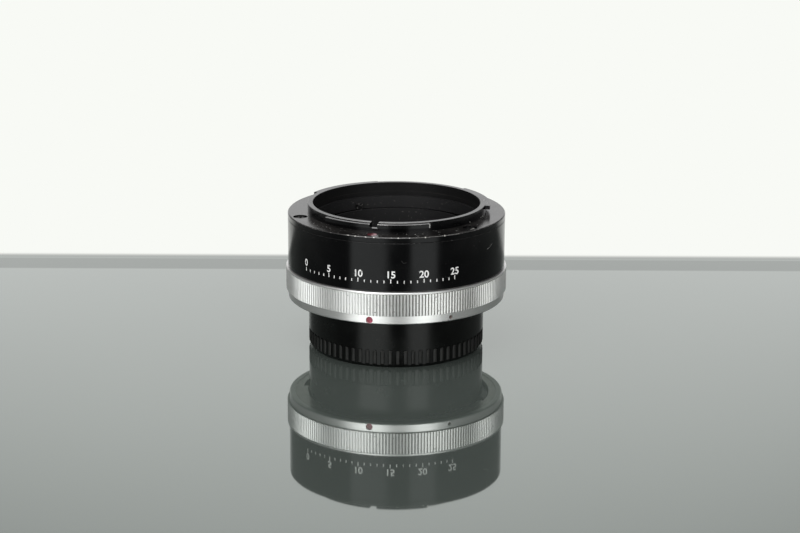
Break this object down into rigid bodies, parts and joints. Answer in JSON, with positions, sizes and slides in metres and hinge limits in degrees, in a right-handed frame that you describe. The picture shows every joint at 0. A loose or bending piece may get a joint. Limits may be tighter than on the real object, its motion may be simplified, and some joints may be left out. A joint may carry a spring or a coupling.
{
  "type": "macro extension tube",
  "caption": "Short black extension tube with a lugged bayonet collar on the lens end, a knurled silver breech ring at the camera end and a deep black rear cap.",
  "frame": {"origin": "middle of the rear cap's underside, on the table", "axes": "+Z along the optical axis towards the lens end; -Y is where the index faces"},
  "size_m": [0.0636, 0.0636, 0.0421],
  "materials": {
    "black_paint": "glossy black enamel on aluminium, worn bright on edges",
    "satin_aluminium": "satin anodised",
    "matt_black_metal": "matt black",
    "plated_brass": "satin plated",
    "steel": "satin",
    "dark_steel": "blackened",
    "spring_steel": "drawn wire",
    "brass": "machined",
    "red_paint": "red enamel",
    "black_plastic": "moulded, slight sheen"
  },
  "bodies": {
    "tube_body": {"front_mount": "black_paint", "outer_barrel": "black_paint", "front_mount_screws": "dark_steel", "track_screws": "steel", "rear_mount_screws": "steel", "locating_pin": "steel", "ring_stop_pin": "steel", "spring_posts": "steel", "front_index_dot": "red_paint", "throat_ring": "matt_black_metal", "baffle_tube": "matt_black_metal", "track_spacer": "matt_black_metal", "track_retainer": "matt_black_metal", "rear_mount": "plated_brass", "drive_return_spring": "spring_steel", "signal_return_spring": "spring_steel", "plunger_spring": "spring_steel"},
    "breech_ring": {"breech_ring": "satin_aluminium", "breech_lug_ring": "plated_brass", "ring_grub_screws": "steel", "ring_index_dot": "red_paint"},
    "aperture_drive": {"drive_ring": "brass", "drive_front_lever": "dark_steel", "drive_rear_lever": "steel", "drive_rivets": "steel"},
    "aperture_signal": {"signal_ring": "brass", "signal_front_lever": "dark_steel", "signal_rear_lever": "steel", "signal_rivets": "steel"},
    "lock_plunger": {"lock_plunger": "steel"},
    "rear_cap": {"rear_cap": "black_plastic"}
  },
  "joints": [
    {"name": "breech_ring_turn", "type": "hinge", "parent": "tube_body", "child": "breech_ring", "pos_m": [0, 0, 0.0192], "axis": [0, 0, -1], "range_deg": [0, 55]},
    {"name": "aperture_drive_turn", "type": "hinge", "parent": "tube_body", "child": "aperture_drive", "pos_m": [0, 0, 0.0283], "axis": [0, 0, 1], "range_deg": [0, 20], "stiffness_Nm_per_rad": 0.02, "springref_deg": -8.59, "deforming": ["drive_return_spring"]},
    {"name": "aperture_signal_turn", "type": "hinge", "parent": "tube_body", "child": "aperture_signal", "pos_m": [0, 0, 0.0261], "axis": [0, 0, 1], "range_deg": [0, 30], "stiffness_Nm_per_rad": 0.01, "springref_deg": -11.46, "deforming": ["signal_return_spring"]},
    {"name": "lock_plunger_press", "type": "slide", "parent": "tube_body", "child": "lock_plunger", "axis": [0, 0, 1], "range_m": [0, 0.001], "stiffness_N_per_m": 150, "springref_m": -0.002, "deforming": ["plunger_spring"]},
    {"name": "rear_cap_pull", "type": "slide", "parent": "tube_body", "child": "rear_cap", "axis": [0, 0, -1], "range_m": [0, 0.022]}
  ]
}
